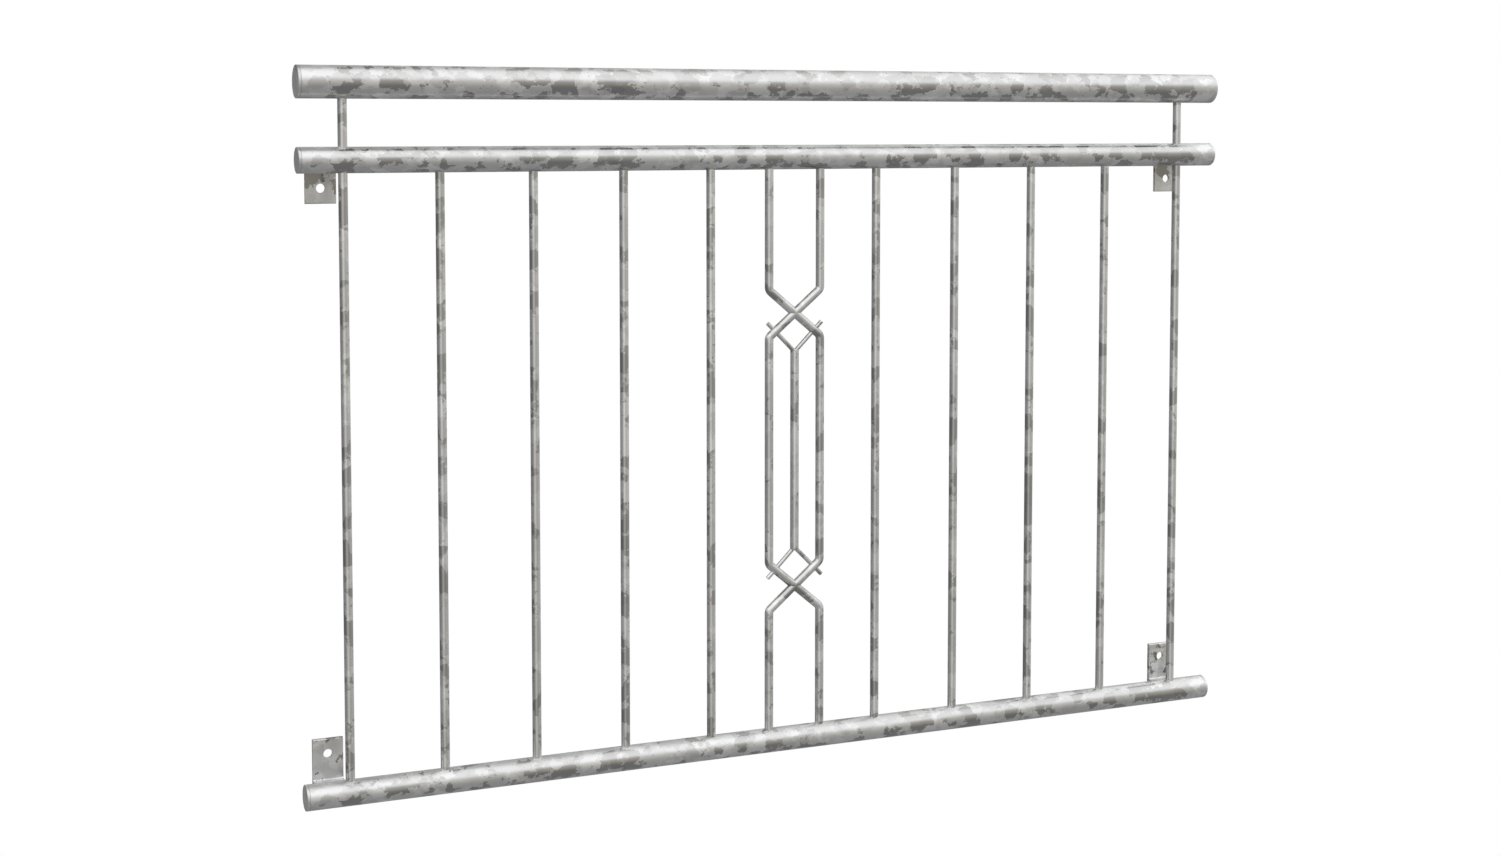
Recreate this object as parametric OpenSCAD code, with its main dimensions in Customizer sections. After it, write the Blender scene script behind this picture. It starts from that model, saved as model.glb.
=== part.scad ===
// Juliet balcony of galvanised steel: two tube rails with upright round bars between them, a bent bar
// ornament in the middle, a handrail on two short posts above, and four angle brackets for the wall.
// +X runs to the right, +Y into the wall and +Z up. The origin is on the wall face of the lower left
// bracket, at the middle of its width.

/* [Overall] */
// Width over the ends of the tubes
overall_w = 1375; // [1000:5:2200]
// Height between the axes of the two rails
rail_spacing = 815; // [700:5:1000]
// Clear gap for the hand between upper rail and handrail
hand_gap = 60.5; // [40:0.5:120]

/* [Tubes] */
// Outer diameter of the handrail
handrail_d = 42.4; // [33.7:0.1:60.3]
// Outer diameter of the two rails
rail_d = 33.7; // [26.9:0.1:48.3]
// Wall of the three tubes
tube_wall = 2.6; // [2:0.1:4]

/* [End caps] */
// Thickness of the cap outside the tube
cap_t = 4; // [2.5:0.1:8]
// Rounding of the cap's rim
cap_round = 0.7; // [0.3:0.1:1.5]
// Chamfer that leaves the fine seam between cap and tube
cap_seam = 0.5; // [0.2:0.1:0.8]
// Depth of the cap's spigot inside the tube
spigot_l = 10; // [5:0.5:20]
// Wall of the hollow spigot
spigot_wall = 2; // [1:0.1:4]
// Gap between spigot and tube all round
spigot_fit = 0.2; // [0.1:0.05:0.5]

/* [Posts and bars] */
// Diameter of the posts, the bars and the bent bars
bar_d = 12; // [10:0.5:16]
// Distance from the tube end to the axis of the end post
post_inset = 58.5; // [45:0.5:120]

/* [Ornament] */
// Distance between the upright stretches of the two bent bars
pair_w = 77.6; // [60:0.2:110]
// Height from the middle of the ornament to each crossing
crossing_rise = 191.4; // [160:0.2:240]
// Rise of a diagonal from one bend to the next
diagonal_rise = 65; // [50:0.5:90]
// Radius of the bends along the bar's centreline
bend_r = 8.5; // [8.2:0.1:14]
// Diameter of the thin V rods
rod_d = 6; // [4:0.5:8]
// Distance across from a bend's corner to where the V rod pierces the diagonal
pierce_inset = 9.3; // [8:0.1:16]
// Angle of the V rods from level
rod_angle = 45; // [40:1:50]
// Distance across from the bent bar's axis to the tip of the V rod
rod_overhang = 2.2; // [1:0.1:12]
// Bend radius at the point of the V, along the rod's centreline
rod_bend_r = 4.2; // [4.1:0.1:8]
// Gap between a V rod and the hole that it passes through
pierce_fit = 0.1; // [0.05:0.05:0.5]
// Gap between the two bent bars where they are half lapped
lap_fit = 0.05; // [0.02:0.01:0.2]
// How far the notched ends of the centre bar stop short of the V rods' centreline
notch_drop = 0.5; // [0.2:0.1:2]

/* [Wall brackets] */
// Length of the bracket's leg on the wall
wall_leg = 60; // [50:1:100]
// Length of the bracket's leg that carries the rail
rail_leg = 40; // [30:1:100]
// Thickness of both legs
leg_t = 5; // [4:0.5:8]
// Width of the bracket along the rail
bracket_w = 40; // [30:1:60]
// Distance from the tube end to the bracket
bracket_inset = 21; // [10:0.5:60]
// Height of the lower brackets' rail leg above the rail's axis
lower_leg_rise = 1.5; // [-4:0.5:4]
// Height of the upper brackets' rail leg above the rail's axis
upper_leg_rise = 0.5; // [-4:0.5:4]
// Fillet in the root between the legs
root_r = 3; // [2:0.5:9]
// Rounding of the inner edge of each leg's end
toe_r = 1.5; // [1:0.5:3.5]
// Diameter of the bolt hole
bolt_d = 12; // [8:0.5:16]
// Distance from the end of the wall leg to the middle of the bolt hole
bolt_edge = 20; // [14:0.5:25]
// Height of the origin above the bracket's heel
origin_rise = 20; // [10:1:25]

/* [Hidden] */
$fn = 64;

// Straight bars on each side of the ornament, one node each
bars_per_side = 4;
// Overshoot of cutting bodies past the faces that they cut
over = 1;

// Where the brackets, the rails and the handrail are
bolt_span_x = overall_w - 2 * bracket_inset - bracket_w;
mid_x = bolt_span_x / 2;
leg_reach = leg_t / 2 + max(abs(lower_leg_rise), abs(upper_leg_rise));
saddle_depth = rail_d / 2 - sqrt(pow(rail_d / 2, 2) - pow(leg_reach, 2));
rail_y = -(rail_leg - saddle_depth + rail_d / 2);
lower_z = leg_t / 2 - origin_rise - lower_leg_rise;
upper_z = lower_z + rail_spacing;
handrail_z = upper_z + rail_d / 2 + hand_gap + handrail_d / 2;
mid_z = (lower_z + upper_z) / 2;

// The end posts and the even pitch of the bars between them, the ornament taking the middle place
post_offset = overall_w / 2 - post_inset;
pitch = post_offset / (bars_per_side + 1);

// The ornament's outline from the middle of the panel, as points across and up
half_pair = pair_w / 2;
bend_high = crossing_rise + diagonal_rise / 2;
bend_low = crossing_rise - diagonal_rise / 2;
half_height = rail_spacing / 2;
pierce_x = half_pair - pierce_inset;
rod_apex = crossing_rise - pierce_x * (diagonal_rise / pair_w + tan(rod_angle));
rod_reach = half_pair + rod_overhang;
bent_points = [
    [-half_pair, half_height], [-half_pair, bend_high], [half_pair, bend_low],
    [half_pair, -bend_low], [-half_pair, -bend_high], [-half_pair, -half_height]
];
v_points = [
    [-rod_reach, rod_apex + rod_reach * tan(rod_angle)],
    [0, rod_apex],
    [rod_reach, rod_apex + rod_reach * tan(rod_angle)]
];

galvanised = [0.72, 0.73, 0.72];
galvanised_dark = [0.58, 0.59, 0.59];

// Heading of stretch i of a path, in degrees from +X
function heading(path, i) =
    atan2(path[i + 1][1] - path[i][1], path[i + 1][0] - path[i][0]);

// Turn at corner i of a path, from -180 to 180 degrees, positive to the left
function turn(path, i) =
    let (change = heading(path, i) - heading(path, i - 1))
    change > 180 ? change - 360 : change < -180 ? change + 360 : change;

// Length that the bend at corner i takes from each stretch that meets there
function trim(path, i, r) =
    i == 0 || i == len(path) - 1 ? 0 : r * tan(abs(turn(path, i)) / 2);

// Round bar bent along a path of corners in the XY plane. Each stretch, with the bend after it, is drawn
// from where the one before it ends, as the bar comes out of a bender.
module bent_round(path, d, r) {
    translate([path[0][0], path[0][1], 0])
        rotate([0, 0, heading(path, 0)])
            bent_stretch(path, d, r, 0);
}

module bent_stretch(path, d, r, i) {
    stretch = norm(path[i + 1] - path[i]) - trim(path, i, r) - trim(path, i + 1, r);
    rotate([0, 90, 0])
        cylinder(d = d, h = stretch);
    if (i < len(path) - 2) {
        angle = turn(path, i + 1);
        side = sign(angle);
        translate([stretch, side * r, 0]) {
            rotate([0, 0, side > 0 ? -90 : 90 + angle])
                rotate_extrude(angle = abs(angle))
                    translate([r, 0])
                        circle(d = d);
            rotate([0, 0, angle])
                translate([0, -side * r, 0])
                    bent_stretch(path, d, r, i + 1);
        }
    }
}

// Moves what is drawn across and up from the middle of the panel to its place
module in_panel() {
    translate([mid_x, rail_y, mid_z])
        rotate([90, 0, 0])
            children();
}

// Solid round along X over the full width, the space that a tube takes
module tube_space(d, z) {
    translate([mid_x - overall_w / 2, rail_y, z])
        rotate([0, 90, 0])
            cylinder(d = d, h = overall_w);
}

// Hollow tube between its two end caps
module tube(d, z) {
    tube_l = overall_w - 2 * cap_t;
    translate([mid_x - tube_l / 2, rail_y, z])
        rotate([0, 90, 0])
            difference() {
                cylinder(d = d, h = tube_l);
                translate([0, 0, -over])
                    cylinder(d = d - 2 * tube_wall, h = tube_l + 2 * over);
            }
}

// End cap, turned: a disc with a rounded rim and a chamfer at the seam, on a hollow spigot
module cap(d, z, side) {
    r = d / 2;
    spigot_r = r - tube_wall - spigot_fit;
    color(galvanised_dark)
        translate([mid_x + side * (overall_w / 2 - cap_t), rail_y, z])
            rotate([0, 90 * side, 0])
                rotate_extrude() {
                    polygon([
                        [0, 0], [r - cap_seam, 0], [r, cap_seam],
                        [r, cap_t - cap_round], [r - cap_round, cap_t], [0, cap_t]
                    ]);
                    translate([r - cap_round, cap_t - cap_round])
                        circle(r = cap_round);
                    translate([spigot_r - spigot_wall, -spigot_l])
                        square([spigot_wall, spigot_l]);
                }
}

// Upright round bar at x from the middle, its ends coped to the tubes below and above it
module upright(x, z_low, d_low, z_high, d_high) {
    difference() {
        translate([mid_x + x, rail_y, z_low])
            cylinder(d = bar_d, h = z_high - z_low);
        tube_space(d_low, z_low);
        tube_space(d_high, z_high);
    }
}

module handrail() {
    color(galvanised)
        tube(handrail_d, handrail_z);
}

module upper_rail() {
    color(galvanised)
        tube(rail_d, upper_z);
}

module lower_rail() {
    color(galvanised)
        tube(rail_d, lower_z);
}

module panel_bar(x) {
    color(galvanised)
        upright(x, lower_z, rail_d, upper_z, rail_d);
}

module handrail_post(side) {
    color(galvanised)
        upright(side * post_offset, upper_z, rail_d, handrail_z, handrail_d);
}

// Bent bar as it leaves the bender, before it is lapped: side 1 starts on the left, side -1 on the right
module bent_blank(side, d) {
    mirror([side > 0 ? 0 : 1, 0, 0])
        bent_round(bent_points, d, bend_r);
}

// V rod around the middle: side 1 is the upper one, side -1 the lower one
module v_blank(side, d) {
    mirror([0, side > 0 ? 0 : 1, 0])
        bent_round(v_points, d, rod_bend_r);
}

// Bent bar, coped to the rails, half lapped over the other one at both crossings and pierced for the rods
module bent_bar(side) {
    color(galvanised)
        difference() {
            in_panel()
                difference() {
                    bent_blank(side, bar_d);
                    intersection() {
                        bent_blank(-side, bar_d + 2 * lap_fit);
                        translate([0, 0, -side * bar_d / 2])
                            cube([pair_w, 2 * (crossing_rise + bar_d), bar_d], center = true);
                    }
                    for (end = [-1, 1])
                        v_blank(end, rod_d + 2 * pierce_fit);
                }
            tube_space(rail_d, lower_z);
            tube_space(rail_d, upper_z);
        }
}

// Upright bar between the two V rods, each end notched to seat in the point of a V
module centre_bar() {
    notch_z = rod_apex - notch_drop;
    notch_rise = bar_d * tan(rod_angle);
    color(galvanised)
        in_panel()
            difference() {
                translate([0, -notch_z - notch_rise, 0])
                    rotate([-90, 0, 0])
                        cylinder(d = bar_d, h = 2 * (notch_z + notch_rise));
                for (end = [-1, 1]) {
                    v_blank(end, rod_d);
                    translate([0, 0, -bar_d])
                        linear_extrude(2 * bar_d)
                            polygon([
                                [0, end * notch_z],
                                [2 * bar_d, end * (notch_z + 2 * notch_rise)],
                                [-2 * bar_d, end * (notch_z + 2 * notch_rise)]
                            ]);
                }
            }
}

module v_rod(side) {
    color(galvanised)
        in_panel()
            v_blank(side, rod_d);
}

// What a leg's end loses where its inner edge is rounded
module toe_cut() {
    difference() {
        translate([-toe_r, -toe_r])
            square(toe_r + over);
        translate([-toe_r, -toe_r])
            circle(r = toe_r);
    }
}

// Section of the angle, its heel at the origin: wall leg along +Y, rail leg along +X
module angle_section() {
    difference() {
        union() {
            square([leg_t, wall_leg]);
            square([rail_leg, leg_t]);
            translate([leg_t, leg_t])
                square(root_r);
        }
        translate([leg_t + root_r, leg_t + root_r])
            circle(r = root_r);
        translate([leg_t, wall_leg])
            toe_cut();
        translate([rail_leg, leg_t])
            toe_cut();
    }
}

// Wall bracket on the left for side = -1 and on the right for side = 1, its rail leg at leg_z behind the
// rail at z, and its wall leg up for up = 1 and down for up = -1
module bracket(side, z, leg_z, up) {
    x = mid_x + side * bolt_span_x / 2;
    color(galvanised_dark)
        difference() {
            translate([x - bracket_w / 2, 0, leg_z - up * leg_t / 2])
                mirror([0, 1, 0])
                    mirror([0, 0, up > 0 ? 0 : 1])
                        rotate([90, 0, 90])
                            linear_extrude(bracket_w)
                                angle_section();
            tube_space(rail_d, z);
            translate([x, over, leg_z + up * (wall_leg - bolt_edge - leg_t / 2)])
                rotate([90, 0, 0])
                    cylinder(d = bolt_d, h = leg_t + 2 * over);
        }
}

module lower_bracket(side) {
    bracket(side, lower_z, lower_z + lower_leg_rise, 1);
}

module upper_bracket(side) {
    bracket(side, upper_z, upper_z + upper_leg_rise, -1);
}

handrail();
upper_rail();
lower_rail();
cap(handrail_d, handrail_z, -1);  // handrail_cap_left
cap(handrail_d, handrail_z, 1);  // handrail_cap_right
cap(rail_d, upper_z, -1);  // upper_rail_cap_left
cap(rail_d, upper_z, 1);  // upper_rail_cap_right
cap(rail_d, lower_z, -1);  // lower_rail_cap_left
cap(rail_d, lower_z, 1);  // lower_rail_cap_right
panel_bar(-post_offset);  // post_left
panel_bar(post_offset);  // post_right
handrail_post(-1);  // handrail_post_left
handrail_post(1);  // handrail_post_right
for (i = [1 : bars_per_side]) {
    panel_bar(-i * pitch);
    panel_bar(i * pitch);
}
bent_bar(1);  // bent_bar_left
bent_bar(-1);  // bent_bar_right
centre_bar();
v_rod(1);  // v_rod_upper
v_rod(-1);  // v_rod_lower
lower_bracket(-1);  // bracket_lower_left
lower_bracket(1);  // bracket_lower_right
upper_bracket(-1);  // bracket_upper_left
upper_bracket(1);  // bracket_upper_right
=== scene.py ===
"""Finishes, stage and camera for a hot-dip galvanised juliet balcony.

The balcony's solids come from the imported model. This file gives each of them its galvanised
finish, and sets the floor, the studio light and the camera. All lengths are in metres, with +X to
the right, +Y into the wall and +Z up.
"""

import math

import bpy
from bpy.props import FloatProperty, FloatVectorProperty, PointerProperty
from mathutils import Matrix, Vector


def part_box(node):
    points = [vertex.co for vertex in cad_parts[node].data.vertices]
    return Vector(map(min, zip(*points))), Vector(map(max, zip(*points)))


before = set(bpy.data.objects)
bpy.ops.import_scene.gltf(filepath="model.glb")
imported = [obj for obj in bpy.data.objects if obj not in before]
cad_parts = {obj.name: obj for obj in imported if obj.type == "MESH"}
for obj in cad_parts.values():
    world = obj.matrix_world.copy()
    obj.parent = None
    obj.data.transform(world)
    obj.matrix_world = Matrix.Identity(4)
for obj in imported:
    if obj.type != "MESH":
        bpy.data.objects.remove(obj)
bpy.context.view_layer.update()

bl_info = {
    "name": "Juliet Balcony Finish",
    "version": (1, 0, 0),
    "blender": (4, 5, 0),
    "location": "View3D > Sidebar > Balcony",
    "description": "Galvanised finish, studio stage and camera for a juliet balcony",
    "category": "Object",
}

SIDES = ("left", "right")
TUBES = ("handrail", "upper_rail", "lower_rail")
CAPS = tuple(f"{tube}_cap_{side}" for tube in TUBES for side in SIDES)
POSTS = tuple(f"{post}_{side}" for post in ("post", "handrail_post") for side in SIDES)
BARS = tuple(f"bar_{side}_{place}" for side in SIDES for place in range(1, 5))
ORNAMENT = ("bent_bar_left", "bent_bar_right", "centre_bar", "v_rod_upper", "v_rod_lower")
BRACKETS = tuple(f"bracket_{level}_{side}" for level in ("lower", "upper") for side in SIDES)

# Noise levels past which the zinc of each kind of piece is dark and pale. A higher level leaves
# fewer patches.
TUBE_LEVELS = (0.558, 0.54)
CAP_LEVELS = (0.72, 0.60)
BAR_LEVELS = (0.54, 0.535)
ORNAMENT_LEVELS = (0.56, 0.54)
BRACKET_LEVELS = (0.565, 0.50)

# Half the softness of a patch's edge, in parts of the noise's range
DARK_EDGE = 0.012
PALE_EDGE = 0.02
# Where the pale patches are read, away from the dark ones
PALE_PLACE = (17.3, 5.1, -9.7)

# How much the colour changes from flake to flake and from grain to grain
FLAKE_TONE = 0.16
GRAIN_TONE = 0.06
# How much the roughness changes from flake to flake, and the share that dark zinc lacks
FLAKE_ROUGH = 0.2
DARK_SMOOTH = 0.45
# The metal share of the zinc: the rest scatters light
MID_METAL = 0.86
DARK_METAL = 1.0
PALE_METAL = 0.82
# Height of the zinc's relief, and the share of it that the shading shows
RELIEF = 0.00004
RELIEF_SHARE = 0.5

# How far before a tube's bare end and how far into it the dark patches thin out, and by how much
# their level rises on the way
FADE_BEFORE = 0.014
FADE_PAST = 0.010
FADE_LEVEL = 0.25

# The share of the white background that mirrored rays meet
MIRRORED_WHITE = 0.04

# The floor: half its side, the X of its middle, and the light that it adds to look white
FLOOR_HALF = 2.4
FLOOR_MIDDLE = 0.65
FLOOR_GLOW = 0.75

# The camera: its place, its angles down from level and right of +Y, and its shift down the frame
CAMERA_PLACE = (-0.5788, -2.7314, 0.8399)
CAMERA_TILT = 3.724
CAMERA_TURN = 23.403
CAMERA_SHIFT = -0.1096
SENSOR_WIDTH = 36.0


def grey(value):
    """A colour without hue."""
    return (value, value, value)


# Tones of the studio's walls by compass angle: 0 is the front, -90 the left and 90 the right
WALL_TONES = (
    (-180, grey(0.21)), (-165, grey(0.185)), (-125, grey(0.20)), (-100, grey(0.185)),
    (-75, grey(0.205)), (-50, grey(0.44)), (-30, grey(0.77)), (-8, (0.67, 0.655, 0.63)),
    (12, (0.46, 0.435, 0.38)), (32, (0.445, 0.42, 0.365)), (55, (0.51, 0.495, 0.46)),
    (85, (0.53, 0.53, 0.52)), (115, grey(0.575)), (150, grey(0.51)), (180, grey(0.21)),
)
# Tones of the floor and the ceiling by height: -1 is straight down, 0 eye level and 1 straight up
CEILING_TONES = (
    (-1.0, grey(0.43)), (-0.6, grey(0.28)), (-0.3, grey(0.30)), (0.0, grey(0.47)),
    (0.12, (0.59, 0.60, 0.61)), (0.30, (0.83, 0.85, 0.88)), (0.50, (1.33, 1.34, 1.35)),
    (0.80, grey(1.28)), (1.0, grey(1.12)),
)


def swatch(name, description, default):
    """A colour property."""
    return FloatVectorProperty(
        name=name, description=description, default=default, subtype="COLOR", min=0.0, max=1.0
    )


def length(name, description, default):
    """A length property in metres."""
    return FloatProperty(
        name=name, description=description, default=default, min=0.001, unit="LENGTH"
    )


def amount(name, description, default, high=1.0):
    """A plain number from 0 up."""
    return FloatProperty(name=name, description=description, default=default, min=0.0, max=high)


def offset(name, description, default):
    """A shift along X, Y and Z."""
    return FloatVectorProperty(name=name, description=description, default=default)


class ZincSettings(bpy.types.PropertyGroup):
    """Colours, patch sizes and shine of the zinc."""

    mid: swatch("Mid zinc", "Colour of most of the zinc", (0.67, 0.67, 0.665))
    dark: swatch("Dark zinc", "Colour of the dark patches", (0.40, 0.40, 0.395))
    # Painted highlight: the paler colour that dark patches take on shoulders facing up and to the
    # front
    highlit_dark: swatch("Worn zinc", "Colour of the dark patches on lit shoulders", (0.54, 0.54, 0.535))
    pale: swatch("Pale zinc", "Colour of the brightest patches", (0.77, 0.77, 0.767))
    plate_dark: swatch(
        "Dark plate zinc", "Colour of the dark patches on brackets", (0.31, 0.31, 0.30)
    )
    tube_roughness: amount("Tube roughness", "Roughness of the mid zinc on the tubes", 0.34)
    bar_roughness: amount("Bar roughness", "Roughness of the mid zinc on the bars and rods", 0.18)
    plate_roughness: amount(
        "Plate roughness", "Roughness of the mid zinc on brackets and caps", 0.30
    )
    tube_patch: length("Tube patch", "Size of a patch on the tubes", 0.031)
    bar_patch: length("Bar patch", "Size of a patch on the bars", 0.034)
    plate_patch: length("Plate patch", "Size of a patch on the brackets and caps", 0.030)
    tube_squash: amount("Tube squash", "Shortening of the patches across a tube", 1.3, 4.0)
    bare_end: length("Bare end", "Length without dark patches at each end of a tube", 0.026)
    tube_shift: offset(
        "Tube shift", "Shift of the patches on the tubes, in patches", (-1.5, 59.5, 36.6)
    )
    plate_shift: offset(
        "Plate shift", "Shift of the patches on the brackets, in patches", (19.7, 2.5, -25.4)
    )


class StageSettings(bpy.types.PropertyGroup):
    """Floor, light and camera."""

    floor_drop: length("Floor drop", "Depth of the floor below the lower brackets", 1.3)
    floor: swatch("Floor", "Colour that the floor gives back to the object", (0.31, 0.31, 0.31))
    walls: amount("Studio walls", "Strength of the light from the studio's walls", 1.0, 10.0)
    lens: amount("Lens", "Focal length in millimetres on a 36 mm wide sensor", 51.02, 500.0)


class Tree:
    """Short calls for filling a node tree."""

    def __init__(self, tree):
        self.tree = tree
        tree.nodes.clear()

    def put(self, socket, value):
        """Links an output to an input, or sets the input's value."""
        if isinstance(value, bpy.types.NodeSocket):
            self.tree.links.new(value, socket)
        else:
            socket.default_value = value

    def add(self, kind, sockets=(), **settings):
        """A new node. sockets maps an input's name or number to a value or to an output."""
        node = self.tree.nodes.new(kind)
        for key, value in settings.items():
            setattr(node, key, value)
        for key, value in dict(sockets).items():
            self.put(node.inputs[key], value)
        return node

    def math(self, operation, a, b=0.0, clamp=False):
        """One step of arithmetic on numbers."""
        node = self.add("ShaderNodeMath", {0: a, 1: b}, operation=operation, use_clamp=clamp)
        return node.outputs[0]

    def times(self, a, b):
        """The product of two numbers."""
        return self.math("MULTIPLY", a, b)

    def total(self, *values):
        """The sum of the numbers."""
        result = values[0]
        for value in values[1:]:
            result = self.math("ADD", result, value)
        return result

    def swing(self, value, width):
        """Turns 0 to 1 into a swing of the given width about 0."""
        return self.times(self.math("SUBTRACT", value, 0.5), width)

    def vector(self, operation, a, b):
        """One step of arithmetic on vectors."""
        return self.add("ShaderNodeVectorMath", {0: a, 1: b}, operation=operation).outputs[0]

    def parts(self, vector):
        """The outputs X, Y and Z of a vector."""
        return self.add("ShaderNodeSeparateXYZ", {0: vector}).outputs

    def step(self, value, low, high, start=0.0, end=1.0):
        """Goes smoothly from start to end as value passes from low to high."""
        sockets = {
            "Value": value, "From Min": low, "From Max": high, "To Min": start, "To Max": end
        }
        node = self.add("ShaderNodeMapRange", sockets, interpolation_type="SMOOTHSTEP")
        return node.outputs[0]

    def above(self, value, level, edge):
        """0 where value is under the level and 1 where it is over it, with a soft edge between."""
        low = self.math("SUBTRACT", level, edge)
        high = self.math("ADD", level, edge)
        return self.step(value, low, high)

    def mix(self, factor, a, b, blend="MIX"):
        """A blend of two colours."""
        sockets = {0: factor, 6: a, 7: b}
        return self.add("ShaderNodeMix", sockets, data_type="RGBA", blend_type=blend).outputs[2]

    def brighten(self, colour, gain):
        """A colour multiplied by a number."""
        gains = self.add("ShaderNodeCombineColor", {0: gain, 1: gain, 2: gain}).outputs[0]
        return self.mix(1.0, colour, gains, "MULTIPLY")

    def noise(self, vector, scale, detail, roughness=0.5):
        """Value and colour of a noise."""
        sockets = {"Vector": vector, "Scale": scale, "Detail": detail, "Roughness": roughness}
        return self.add("ShaderNodeTexNoise", sockets).outputs

    def ramp(self, value, stops):
        """Colours along value from 0 to 1, through (place, colour) stops."""
        node = self.add("ShaderNodeValToRGB", {0: value})
        band = node.color_ramp
        while len(band.elements) < len(stops):
            band.elements.new(0.5)
        for element, (place, tone) in zip(band.elements, stops):
            element.position = place
            element.color = rgba(tone)
        return node.outputs[0]


def rgba(tone):
    """A colour as four numbers."""
    return (*tone, 1.0)


def new_group(name, inputs, outputs):
    """An empty node group with its sockets, as (Tree, inputs by name, outputs by name)."""
    tree = bpy.data.node_groups.new(name, "ShaderNodeTree")
    for label, kind, default in inputs:
        socket = tree.interface.new_socket(
            label, in_out="INPUT", socket_type="NodeSocket" + kind
        )
        socket.default_value = default
    for label, kind in outputs:
        tree.interface.new_socket(label, in_out="OUTPUT", socket_type="NodeSocket" + kind)
    nodes = Tree(tree)
    return nodes, nodes.add("NodeGroupInput").outputs, nodes.add("NodeGroupOutput").inputs


def patches_group():
    """Where the zinc is dark, mid or pale. The input vector counts patches, each about 1 long.

    A fine noise tears the position. Cells pull it part of the way to their own middle, which gives
    some patches a straight cut edge. Two noises read there, each with a finer one that crumbles
    its edges, are cut at a level into dark and pale patches. Small dark specks are added.
    """
    name = "Zinc patches"
    if name in bpy.data.node_groups:
        return bpy.data.node_groups[name]
    nodes, given, out = new_group(
        name,
        [
            ("Vector", "Vector", (0.0, 0.0, 0.0)), ("Tear", "Float", 0.4),
            ("Dark Level", "Float", 0.55), ("Pale Level", "Float", 0.55),
        ],
        [("Dark", "Float"), ("Pale", "Float"), ("Flake", "Float"), ("Grain", "Float")],
    )
    fine = nodes.noise(given["Vector"], scale=4.6, detail=3.0, roughness=0.62)["Color"]
    shift = nodes.add(
        "ShaderNodeVectorMath",
        {0: nodes.vector("SUBTRACT", fine, (0.5, 0.5, 0.5)), 3: given["Tear"]},
        operation="SCALE",
    ).outputs[0]
    torn = nodes.vector("ADD", given["Vector"], shift)
    cell = nodes.add("ShaderNodeTexVoronoi", {"Vector": torn, "Scale": 1.3}).outputs
    pull_share = 0.30
    pulled = nodes.add(
        "ShaderNodeMix", {0: pull_share, 4: torn, 5: cell["Position"]}, data_type="VECTOR"
    ).outputs[1]
    flake = nodes.add("ShaderNodeSeparateColor", {0: cell["Color"]}).outputs[0]
    crumbs = nodes.swing(
        nodes.noise(torn, scale=5.0, detail=2.0, roughness=0.6)["Fac"],
        nodes.times(given["Tear"], 0.5),
    )

    body = nodes.total(nodes.noise(pulled, scale=1.15, detail=2.0)["Fac"], crumbs)
    patch = nodes.above(body, given["Dark Level"], DARK_EDGE)
    speck = nodes.step(nodes.noise(torn, scale=4.0, detail=1.0)["Fac"], 0.72, 0.74)
    dark = nodes.math("MAXIMUM", patch, speck)

    away = nodes.vector("ADD", pulled, PALE_PLACE)
    body = nodes.total(nodes.noise(away, scale=1.4, detail=2.0)["Fac"], crumbs)
    pale = nodes.times(
        nodes.above(body, given["Pale Level"], PALE_EDGE), nodes.math("SUBTRACT", 1.0, dark)
    )

    grain = nodes.noise(given["Vector"], scale=40.0, detail=3.0, roughness=0.6)["Fac"]
    for label, value in (("Dark", dark), ("Pale", pale), ("Flake", flake), ("Grain", grain)):
        nodes.put(out[label], value)
    return nodes.tree


def tones_group():
    """Colour, roughness, metal share and height of the zinc from its patches.

    The colour goes from mid to dark or pale, and each flake and grain shifts it by a few
    hundredths. Dark zinc is smoother than the rest, which scatters some light. Dark patches are
    painted paler on shoulders that face up and to the front, a painted highlight where the light
    falls brightest.
    """
    name = "Zinc tones"
    if name in bpy.data.node_groups:
        return bpy.data.node_groups[name]
    blank = rgba(grey(0.5))
    nodes, given, out = new_group(
        name,
        [
            ("Dark", "Float", 0.0), ("Pale", "Float", 0.0),
            ("Flake", "Float", 0.5), ("Grain", "Float", 0.5),
            ("Mid Colour", "Color", blank), ("Dark Colour", "Color", blank),
            ("Highlit Colour", "Color", blank), ("Pale Colour", "Color", blank),
            ("Roughness", "Float", 0.35),
        ],
        [("Color", "Color"), ("Roughness", "Float"), ("Metallic", "Float"), ("Height", "Float")],
    )
    # Painted highlight: dark patches turn paler on shoulders that face up and to the front, where
    # the light falls brightest
    normal = nodes.parts(nodes.add("ShaderNodeNewGeometry").outputs["Normal"])
    upward = nodes.step(normal["Z"], -0.22, 0.36)
    short_of_flat = nodes.step(normal["Z"], 0.88, 0.70, 0.4, 1.0)
    frontward = nodes.step(normal["Y"], 0.0, -0.4)
    highlight_mask = nodes.times(nodes.times(upward, short_of_flat), frontward)
    dull = nodes.mix(highlight_mask, given["Dark Colour"], given["Highlit Colour"])
    tone = nodes.mix(given["Pale"], given["Mid Colour"], given["Pale Colour"])
    tone = nodes.mix(given["Dark"], tone, dull)
    gain = nodes.total(
        nodes.swing(given["Flake"], FLAKE_TONE), nodes.swing(given["Grain"], GRAIN_TONE), 1.0
    )
    nodes.put(out["Color"], nodes.brighten(tone, gain))

    share = nodes.total(
        nodes.times(given["Dark"], -DARK_SMOOTH), nodes.swing(given["Flake"], FLAKE_ROUGH), 1.0
    )
    nodes.put(out["Roughness"], nodes.math("MULTIPLY", given["Roughness"], share, True))

    metal = nodes.total(
        nodes.times(given["Dark"], DARK_METAL - MID_METAL), MID_METAL,
        nodes.times(given["Pale"], PALE_METAL - MID_METAL),
    )
    nodes.put(out["Metallic"], metal)

    # Pale zinc stands proud, dark zinc lies low, and the grain roughens both
    height = nodes.total(
        nodes.times(given["Pale"], 0.5), nodes.times(given["Dark"], -0.5),
        nodes.times(given["Grain"], 0.2),
    )
    nodes.put(out["Height"], height)
    return nodes.tree


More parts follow.
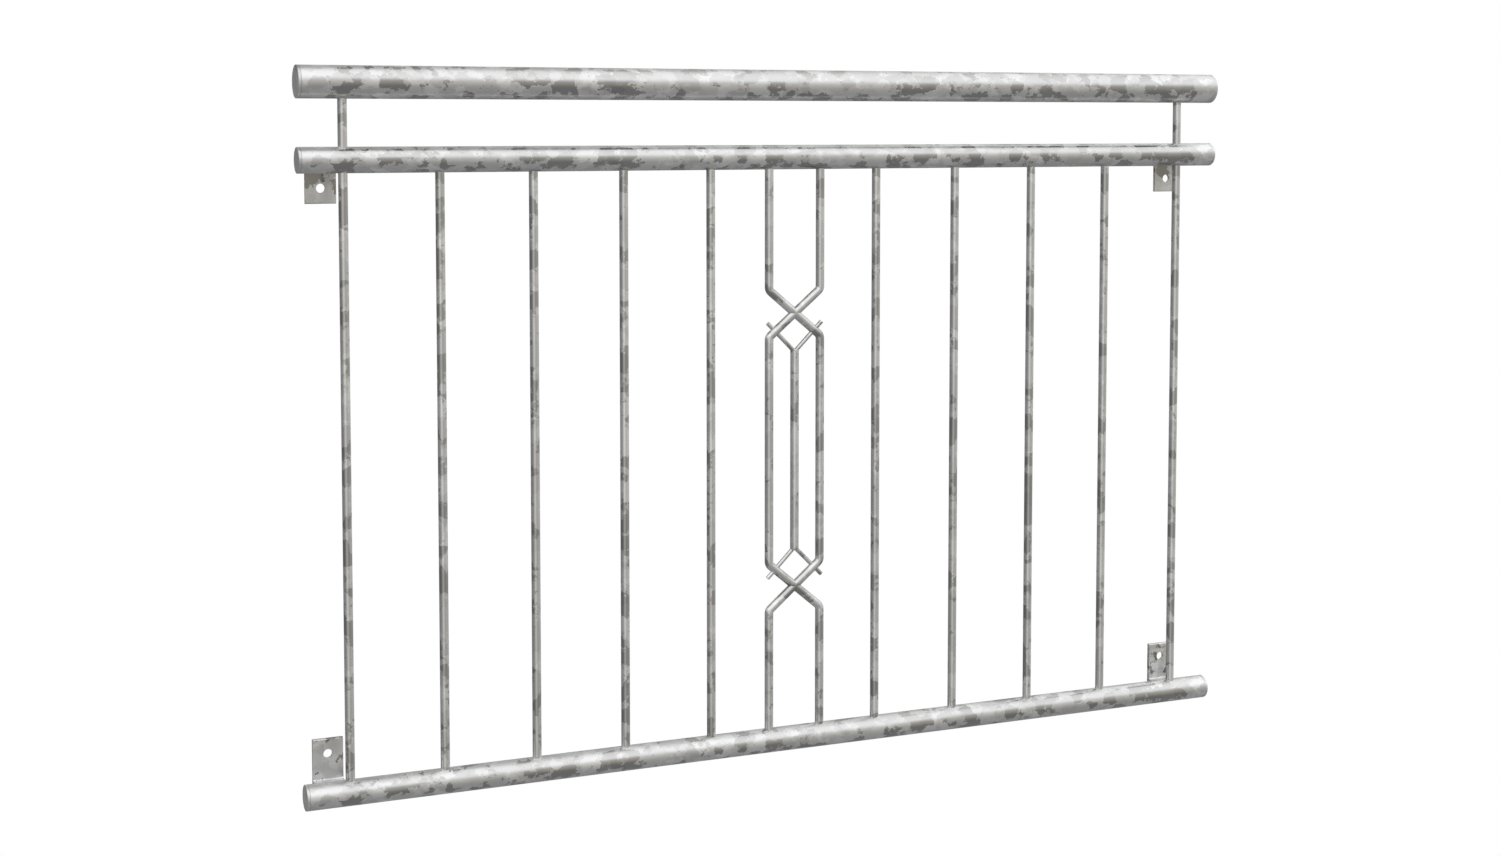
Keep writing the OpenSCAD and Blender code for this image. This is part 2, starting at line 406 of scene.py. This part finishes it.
def zinc(
    name, patch, roughness, levels,
    tear=0.4, centre=(0, 0, 0), shift=(0, 0, 0), squash=1.0, reach=0.0, dull=None,
):
    """A galvanised finish with patches of the given size and roughness.

    The pattern is counted in patches from centre and moved by shift. Levels are the dark and the
    pale one, and tear is how ragged the patches are. Squash makes them shorter across a tube than
    along it. With a reach, the dark patches end that far to either side of the centre along X. A
    dull colour takes the place of both the dark colour and the paler dark colour that paints a
    highlight on lit shoulders, so the piece gets no painted highlight.
    """
    looks = bpy.context.scene.balcony_zinc
    material = bpy.data.materials.new(name)
    material.use_nodes = True
    nodes = Tree(material.node_tree)

    place = nodes.add("ShaderNodeTexCoord").outputs["Object"]
    scale = (1 / patch, squash / patch, squash / patch)
    start = [move - middle * size for move, middle, size in zip(shift, centre, scale)]
    spread = nodes.add("ShaderNodeMapping", {0: place, "Location": start, "Scale": scale})
    dark_level, pale_level = levels
    if reach:
        off = nodes.math("ABSOLUTE", nodes.math("SUBTRACT", nodes.parts(place)["X"], centre[0]))
        dark_level = nodes.step(
            off, reach - FADE_BEFORE, reach + FADE_PAST, dark_level, dark_level + FADE_LEVEL
        )

    masks = nodes.add(
        "ShaderNodeGroup",
        {0: spread.outputs[0], 1: tear, 2: dark_level, 3: pale_level},
        node_tree=patches_group(),
    )
    # Highlit is the dark colour with a painted highlight, used on shoulders facing up and to the
    # front
    colours = {
        "Mid": looks.mid, "Dark": dull or looks.dark, "Highlit": dull or looks.highlit_dark,
        "Pale": looks.pale,
    }
    given = {key: masks.outputs[key] for key in ("Dark", "Pale", "Flake", "Grain")}
    given.update({key + " Colour": rgba(colour) for key, colour in colours.items()})
    given["Roughness"] = roughness
    tones = nodes.add("ShaderNodeGroup", given, node_tree=tones_group()).outputs

    relief = nodes.add(
        "ShaderNodeBump", {"Strength": RELIEF_SHARE, "Distance": RELIEF, "Height": tones["Height"]}
    )
    surface = nodes.add(
        "ShaderNodeBsdfPrincipled",
        {
            "Base Color": tones["Color"], "Roughness": tones["Roughness"],
            "Metallic": tones["Metallic"], "Normal": relief.outputs[0],
        },
    )
    nodes.add("ShaderNodeOutputMaterial", {"Surface": surface.outputs[0]})
    return material


def finish(pieces, material):
    """Puts the material in every slot of the pieces."""
    for piece in pieces:
        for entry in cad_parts[piece].material_slots:
            entry.link = "OBJECT"
            entry.material = material


class BALCONY_OT_finish_tubes(bpy.types.Operator):
    """Finish the handrail and the two rails"""

    bl_idname = "balcony.finish_tubes"
    bl_label = "Finish Tubes"

    def execute(self, context):
        looks = context.scene.balcony_zinc
        for tube in TUBES:
            low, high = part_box(tube)
            material = zinc(
                "Galvanised " + tube.replace("_", " "), looks.tube_patch, looks.tube_roughness,
                TUBE_LEVELS, centre=(low + high) / 2, shift=looks.tube_shift,
                squash=looks.tube_squash, reach=(high[0] - low[0]) / 2 - looks.bare_end,
            )
            finish([tube], material)
        return {"FINISHED"}


class BALCONY_OT_finish_caps(bpy.types.Operator):
    """Finish the end caps of the tubes"""

    bl_idname = "balcony.finish_caps"
    bl_label = "Finish End Caps"

    def execute(self, context):
        looks = context.scene.balcony_zinc
        material = zinc("Galvanised cap", looks.plate_patch, looks.plate_roughness, CAP_LEVELS)
        finish(CAPS, material)
        return {"FINISHED"}


class BALCONY_OT_finish_bars(bpy.types.Operator):
    """Finish the posts and the straight bars"""

    bl_idname = "balcony.finish_bars"
    bl_label = "Finish Bars"

    def execute(self, context):
        looks = context.scene.balcony_zinc
        material = zinc("Galvanised bar", looks.bar_patch, looks.bar_roughness, BAR_LEVELS)
        finish(POSTS + BARS, material)
        return {"FINISHED"}


class BALCONY_OT_finish_ornament(bpy.types.Operator):
    """Finish the bent bars, the centre bar and the V rods"""

    bl_idname = "balcony.finish_ornament"
    bl_label = "Finish Ornament"

    def execute(self, context):
        looks = context.scene.balcony_zinc
        material = zinc(
            "Galvanised ornament", looks.bar_patch, looks.bar_roughness, ORNAMENT_LEVELS
        )
        finish(ORNAMENT, material)
        return {"FINISHED"}


class BALCONY_OT_finish_brackets(bpy.types.Operator):
    """Finish the four wall brackets"""

    bl_idname = "balcony.finish_brackets"
    bl_label = "Finish Brackets"

    def execute(self, context):
        looks = context.scene.balcony_zinc
        material = zinc(
            "Galvanised bracket", looks.plate_patch, looks.plate_roughness, BRACKET_LEVELS,
            tear=0.3, shift=looks.plate_shift, dull=looks.plate_dark,
        )
        finish(BRACKETS, material)
        return {"FINISHED"}


def seen_white(nodes):
    """How much of a ray meets the white background: all of it from the camera or through glass.

    Mirrored rays meet a small share of it, since the metal shows the studio's darker walls.
    """
    path = nodes.add("ShaderNodeLightPath").outputs
    seen = nodes.math("ADD", path["Is Camera Ray"], path["Is Transmission Ray"], True)
    mirrored = nodes.times(path["Is Glossy Ray"], MIRRORED_WHITE)
    return nodes.math("ADD", seen, mirrored, True)


def light_studio(world, strength):
    """The studio that the metal mirrors: a ring of wall tones at eye level under a bright dome.

    The ring's tone follows the compass angle from the front. It brightens from the floor to eye
    level, except at the rear left. The dome's tone follows the height of the direction and falls
    off to the rear, most of all overhead at the left. The two are blended by height. The camera
    sees plain white instead.
    """
    world.use_nodes = True
    nodes = Tree(world.node_tree)
    x, y, z = nodes.parts(nodes.add("ShaderNodeTexCoord").outputs["Generated"])

    angle = nodes.math("ARCTAN2", x, nodes.times(y, -1.0))
    turn = nodes.total(nodes.math("DIVIDE", angle, 2 * math.pi), 0.5)
    ring = nodes.ramp(turn, [(place / 360 + 0.5, tone) for place, tone in WALL_TONES])
    rear_left = nodes.math("SUBTRACT", y, x)
    floor_gain = nodes.step(rear_left, 0.9, 0.2, 1.0, 0.83)
    eye_gain = nodes.step(rear_left, 0.9, 0.2, 1.0, 1.22)
    ring = nodes.brighten(ring, nodes.step(z, -0.34, 0.04, floor_gain, eye_gain))

    height = nodes.total(nodes.times(z, 0.5), 0.5)
    dome = nodes.ramp(height, [(place / 2 + 0.5, tone) for place, tone in CEILING_TONES])
    rear_gain = nodes.step(y, -0.2, 0.95, 1.0, 0.45)
    overhead = nodes.times(nodes.step(z, 0.35, 0.75), nodes.step(y, 0.0, 0.25))
    side_gain = nodes.step(x, 0.17, 0.52, 0.36, 1.22)
    overhead_gain = nodes.step(overhead, 0.0, 1.0, 1.0, side_gain)
    dome = nodes.brighten(dome, nodes.times(rear_gain, overhead_gain))

    away = nodes.math("MAXIMUM", nodes.step(z, 0.0, 0.35), nodes.step(z, -0.25, -0.50))
    light = nodes.add(
        "ShaderNodeBackground", {"Color": nodes.mix(away, ring, dome), "Strength": strength}
    )
    white = nodes.add("ShaderNodeBackground", {"Color": rgba(grey(1)), "Strength": 1.0})
    both = nodes.add(
        "ShaderNodeMixShader", {0: seen_white(nodes), 1: light.outputs[0], 2: white.outputs[0]}
    )
    nodes.add("ShaderNodeOutputWorld", {"Surface": both.outputs[0]})


def lay_floor(scene, drop, colour):
    """A pale floor at the given drop below the lower brackets, which the camera sees as white."""
    left, right = FLOOR_MIDDLE - FLOOR_HALF, FLOOR_MIDDLE + FLOOR_HALF
    front, rear = -FLOOR_HALF, FLOOR_HALF
    corners = [(left, front), (right, front), (right, rear), (left, rear)]
    mesh = bpy.data.meshes.new("floor")
    mesh.from_pydata([(x, y, -drop) for x, y in corners], [], [(0, 1, 2, 3)])
    floor = bpy.data.objects.new("floor", mesh)
    scene.collection.objects.link(floor)

    material = bpy.data.materials.new("Studio floor")
    material.use_nodes = True
    nodes = Tree(material.node_tree)
    matt = nodes.add("ShaderNodeBsdfDiffuse", {"Color": rgba(colour)})
    glow = nodes.add(
        "ShaderNodeEmission",
        {"Strength": nodes.times(seen_white(nodes), FLOOR_GLOW), "Color": rgba(grey(1))},
    )
    both = nodes.add("ShaderNodeAddShader", {0: matt.outputs[0], 1: glow.outputs[0]})
    nodes.add("ShaderNodeOutputMaterial", {"Surface": both.outputs[0]})
    mesh.materials.append(material)


def set_camera(scene, lens):
    """The camera at the photograph's viewing angle."""
    camera = bpy.data.cameras.new("camera")
    camera.lens = lens
    camera.sensor_width = SENSOR_WIDTH
    camera.sensor_fit = "HORIZONTAL"
    camera.shift_y = CAMERA_SHIFT
    eye = bpy.data.objects.new("camera", camera)
    eye.location = CAMERA_PLACE
    eye.rotation_euler = (math.radians(90 - CAMERA_TILT), 0.0, math.radians(-CAMERA_TURN))
    scene.collection.objects.link(eye)
    scene.camera = eye


class BALCONY_OT_set_stage(bpy.types.Operator):
    """Set the floor, the light and the camera"""

    bl_idname = "balcony.set_stage"
    bl_label = "Set Stage"

    def execute(self, context):
        scene = context.scene
        stage = scene.balcony_stage
        scene.view_settings.view_transform = "Standard"
        scene.world = bpy.data.worlds.new("Studio")
        light_studio(scene.world, stage.walls)
        lay_floor(scene, stage.floor_drop, stage.floor)
        set_camera(scene, stage.lens)
        return {"FINISHED"}


class BALCONY_PT_sidebar(bpy.types.Panel):
    """Lists the balcony's settings and steps"""

    bl_label = "Juliet Balcony"
    bl_idname = "BALCONY_PT_sidebar"
    bl_space_type = "VIEW_3D"
    bl_region_type = "UI"
    bl_category = "Balcony"

    def draw(self, context):
        for group in (context.scene.balcony_zinc, context.scene.balcony_stage):
            box = self.layout.box()
            for name in group.bl_rna.properties.keys():
                if name not in ("rna_type", "name"):
                    box.prop(group, name)
        for step in STEPS:
            self.layout.operator(step.bl_idname)


STEPS = (
    BALCONY_OT_finish_tubes, BALCONY_OT_finish_caps, BALCONY_OT_finish_bars,
    BALCONY_OT_finish_ornament, BALCONY_OT_finish_brackets, BALCONY_OT_set_stage,
)
CLASSES = (ZincSettings, StageSettings, *STEPS, BALCONY_PT_sidebar)


def register():
    """Registers the classes and hangs the settings on the scene."""
    for entry in CLASSES:
        bpy.utils.register_class(entry)
    bpy.types.Scene.balcony_zinc = PointerProperty(type=ZincSettings)
    bpy.types.Scene.balcony_stage = PointerProperty(type=StageSettings)


def unregister():
    """Takes the settings and the classes away again."""
    del bpy.types.Scene.balcony_stage
    del bpy.types.Scene.balcony_zinc
    for entry in reversed(CLASSES):
        bpy.utils.unregister_class(entry)


def main():
    """Runs every step in order."""
    register()
    bpy.ops.balcony.finish_tubes()
    bpy.ops.balcony.finish_caps()
    bpy.ops.balcony.finish_bars()
    bpy.ops.balcony.finish_ornament()
    bpy.ops.balcony.finish_brackets()
    bpy.ops.balcony.set_stage()


if __name__ == "__main__":
    main()
